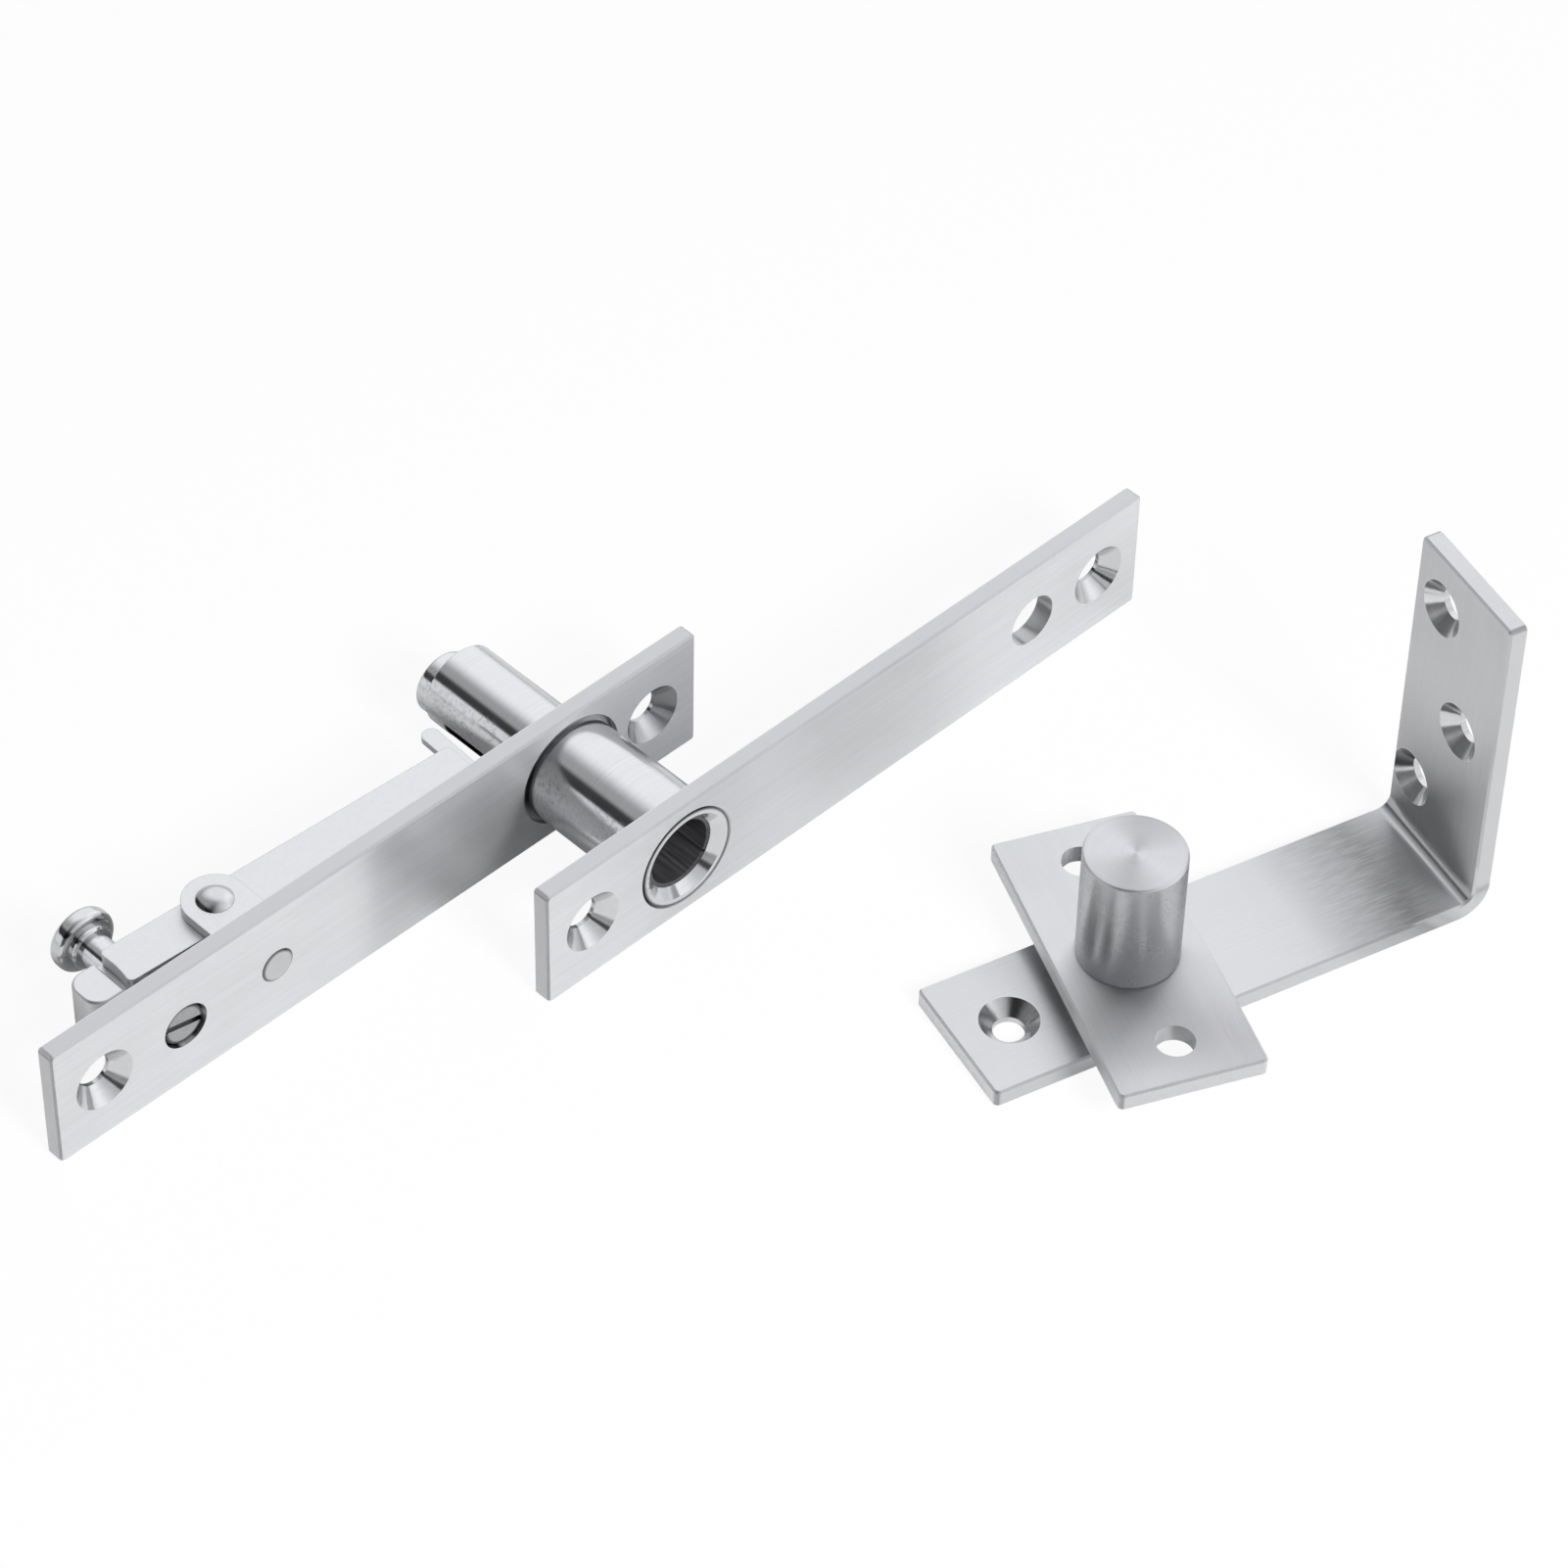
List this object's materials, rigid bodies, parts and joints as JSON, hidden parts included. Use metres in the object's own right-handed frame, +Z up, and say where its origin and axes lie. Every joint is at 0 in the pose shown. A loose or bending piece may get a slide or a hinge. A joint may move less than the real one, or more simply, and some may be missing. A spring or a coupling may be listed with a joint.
{
  "type": "pivot hinge",
  "caption": "Door pivot hinge: a top pivot whose pin is drawn back by a screw and lever, and a bottom pivot that turns on an angle bracket.",
  "frame": {"origin": "middle of the set's bounding box, on the surface that the pieces lie on", "axes": "+X along the two top plates, +Y from the door plate to the frame plate, parallel to the top pivot's axis, +Z up"},
  "size_m": [0.176, 0.1236, 0.0527],
  "materials": {
    "frame_plate": "brushed along its length",
    "guide_barrel": "turned, fine lengthwise sheen",
    "pivot_pin": "ground",
    "fulcrum_bracket": "pressed, smooth satin",
    "fulcrum_rivet": "bright domed heads",
    "bracket_rivet": "bright, set flush",
    "adjusting_screw": "turned",
    "screw_collar": "turned",
    "screw_knob": "polished",
    "nut_block": "smooth satin",
    "lever": "smooth satin",
    "door_plate": "brushed along its length",
    "door_sleeve": "turned and polished",
    "sleeve_liner": "dark dry bearing",
    "floor_bracket": "brushed along its length",
    "bottom_pivot_pin": "ground",
    "thrust_washer": "dark dry bearing",
    "thrust_ball": "polished",
    "bottom_door_plate": "brushed along its length",
    "bearing_housing": "turned",
    "housing_liner": "dark dry bearing"
  },
  "bodies": {
    "frame_side": {"frame_plate": "frame_plate", "guide_barrel": "guide_barrel", "fulcrum_bracket": "fulcrum_bracket", "fulcrum_rivet": "fulcrum_rivet", "bracket_rivet": "bracket_rivet", "floor_bracket": "floor_bracket", "bottom_pivot_pin": "bottom_pivot_pin", "thrust_washer": "thrust_washer", "thrust_ball": "thrust_ball"},
    "screw": {"adjusting_screw": "adjusting_screw", "screw_collar": "screw_collar", "screw_knob": "screw_knob"},
    "nut": {"nut_block": "nut_block"},
    "lever": {"lever": "lever"},
    "pin": {"pivot_pin": "pivot_pin"},
    "top_door_side": {"door_plate": "door_plate", "door_sleeve": "door_sleeve", "sleeve_liner": "sleeve_liner"},
    "bottom_door_side": {"bottom_door_plate": "bottom_door_plate", "bearing_housing": "bearing_housing", "housing_liner": "housing_liner"}
  },
  "joints": [
    {"name": "pin_slide", "type": "slide", "parent": "frame_side", "child": "pin", "axis": [0, 1, 0], "range_m": [-0.00039, 0.0085]},
    {"name": "adjusting_screw_turn", "type": "hinge", "parent": "frame_side", "child": "screw", "pos_m": [-0.0665, 0.03643, 0.01], "axis": [0, 1, 0], "range_deg": [-45.9, 1004.7]},
    {"name": "nut_slide", "type": "slide", "parent": "frame_side", "child": "nut", "axis": [0, -1, 0], "range_m": [-0.0001, 0.00223]},
    {"name": "lever_swing", "type": "hinge", "parent": "frame_side", "child": "lever", "pos_m": [-0.0535, 0.04543, 0.01], "axis": [0, 0, 1], "range_deg": [-0.45, 9.84]},
    {"name": "top_door_turn", "type": "hinge", "parent": "frame_side", "child": "top_door_side", "pos_m": [0.001, 0.01393, 0.01], "axis": [0, 1, 0], "continuous": true},
    {"name": "bottom_door_turn", "type": "hinge", "parent": "frame_side", "child": "bottom_door_side", "pos_m": [0.0332, -0.03617, 0], "axis": [0, 0, 1], "continuous": true}
  ],
  "couplings": [
    {"joint": "adjusting_screw_turn", "follows": "pin_slide", "rad_per_m": 2021.8},
    {"joint": "nut_slide", "follows": "pin_slide", "ratio": 0.25743},
    {"joint": "lever_swing", "follows": "pin_slide", "rad_per_m": 19.802}
  ]
}
